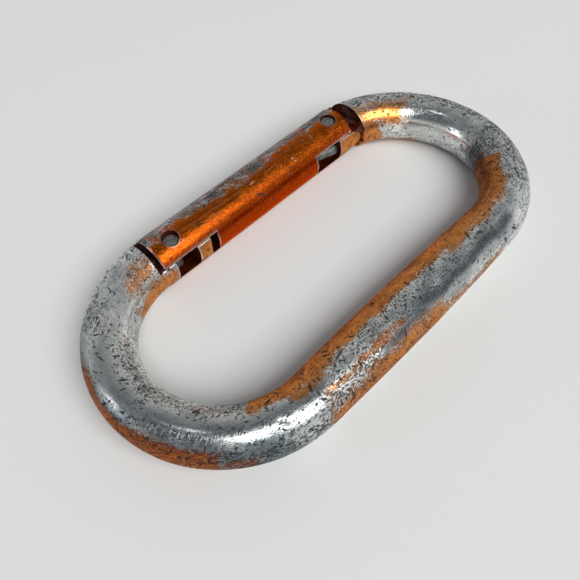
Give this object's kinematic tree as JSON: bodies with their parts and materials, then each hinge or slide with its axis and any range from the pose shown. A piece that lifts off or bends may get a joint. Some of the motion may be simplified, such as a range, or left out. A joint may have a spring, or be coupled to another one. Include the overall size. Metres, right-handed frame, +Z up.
{
  "type": "oval carabiner",
  "caption": "Round-bar oval carabiner with a sprung pin-latch gate, worn orange anodised finish, lying on its side.",
  "frame": {"origin": "under the middle of the oval's outline, on the surface the carabiner lies on", "axes": "+X along the length towards the gate's hinge, +Y across towards the gate, +Z up, out of the plane of the oval"},
  "size_m": [0.108, 0.0558, 0.0113],
  "materials": {
    "anodised_body": "orange anodising, worn to bare metal on the outsides",
    "anodised_gate": "glossy orange anodising with scuffs",
    "rivet_steel": "dull grey",
    "rod_steel": "satin",
    "spring_steel": "bright wire"
  },
  "bodies": {
    "frame": {"body": "anodised_body"},
    "gate": {"gate": "anodised_gate", "hinge_rivet": "rivet_steel", "latch_rivet": "rivet_steel", "gate_spring": "spring_steel"},
    "push_rod": {"push_rod": "rod_steel"}
  },
  "joints": [
    {"name": "gate_hinge", "type": "hinge", "parent": "frame", "child": "gate", "pos_m": [0.02525, 0.02185, 0.00565], "axis": [0, 0, 1], "range_deg": [0, 32], "stiffness_Nm_per_rad": 0.01, "springref_deg": -22.92},
    {"name": "push_rod_slide", "type": "slide", "parent": "gate", "child": "push_rod", "axis": [-0.96, 0.2799, 0], "range_m": [0, 0.0022], "deforming": ["gate_spring"]}
  ],
  "couplings": [
    {"joint": "push_rod_slide", "follows": "gate_hinge", "m_per_rad": 0.003912}
  ]
}
